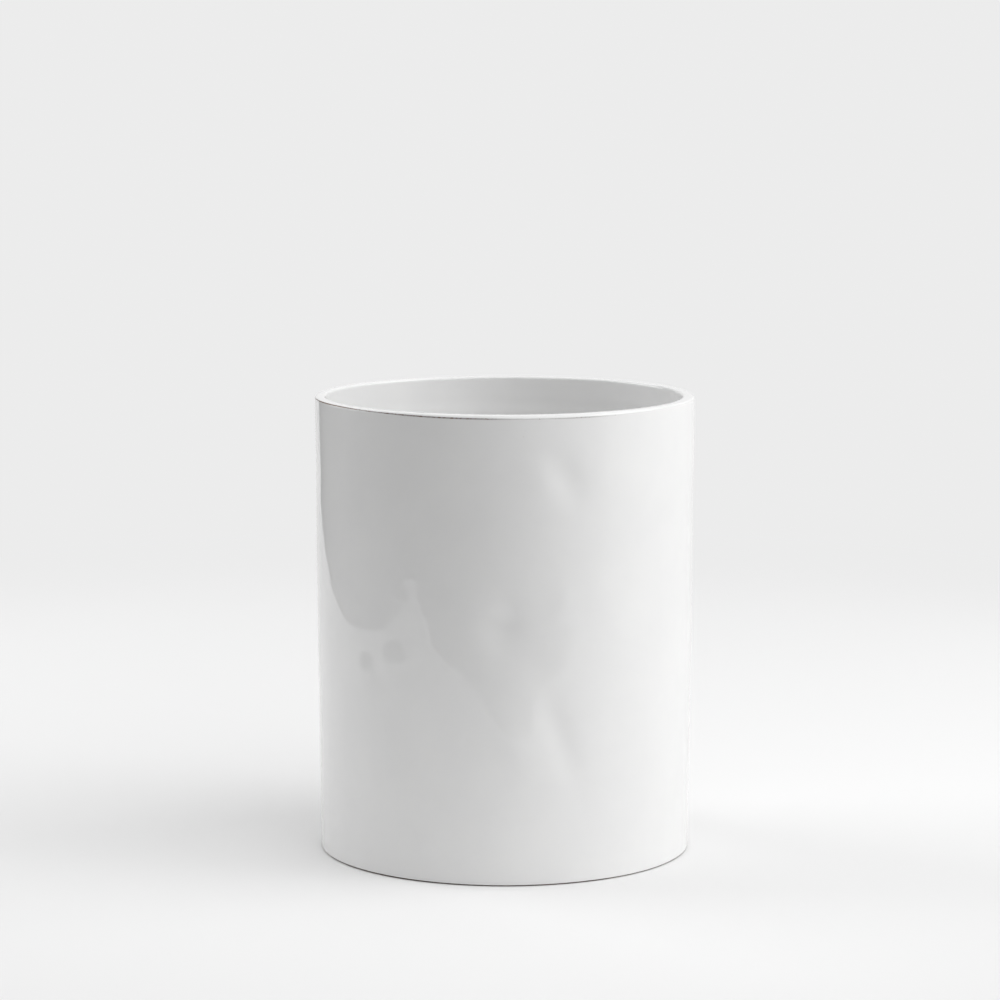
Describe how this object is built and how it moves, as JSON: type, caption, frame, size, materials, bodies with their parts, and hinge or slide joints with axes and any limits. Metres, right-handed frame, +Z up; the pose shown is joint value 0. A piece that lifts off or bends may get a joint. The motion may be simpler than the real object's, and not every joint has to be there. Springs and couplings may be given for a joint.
{
  "type": "utensil crock",
  "caption": "Straight-sided round stoneware crock with a rounded lip, a bare clay line on its shoulder and a bare foot ring, glazed white inside and out.",
  "frame": {"origin": "centre of the foot ring, on the surface that the crock stands on", "axes": "+Z up along the crock's axis; the crock is round, and +Y points away from the viewer"},
  "size_m": [0.165, 0.165, 0.199],
  "materials": {
    "bare_clay": "matte fired stoneware",
    "white_glaze": "glossy white glaze"
  },
  "bodies": {
    "root": {"clay_body": "bare_clay", "outer_glaze": "white_glaze", "inner_glaze": "white_glaze", "base_glaze": "white_glaze"}
  },
  "joints": []
}
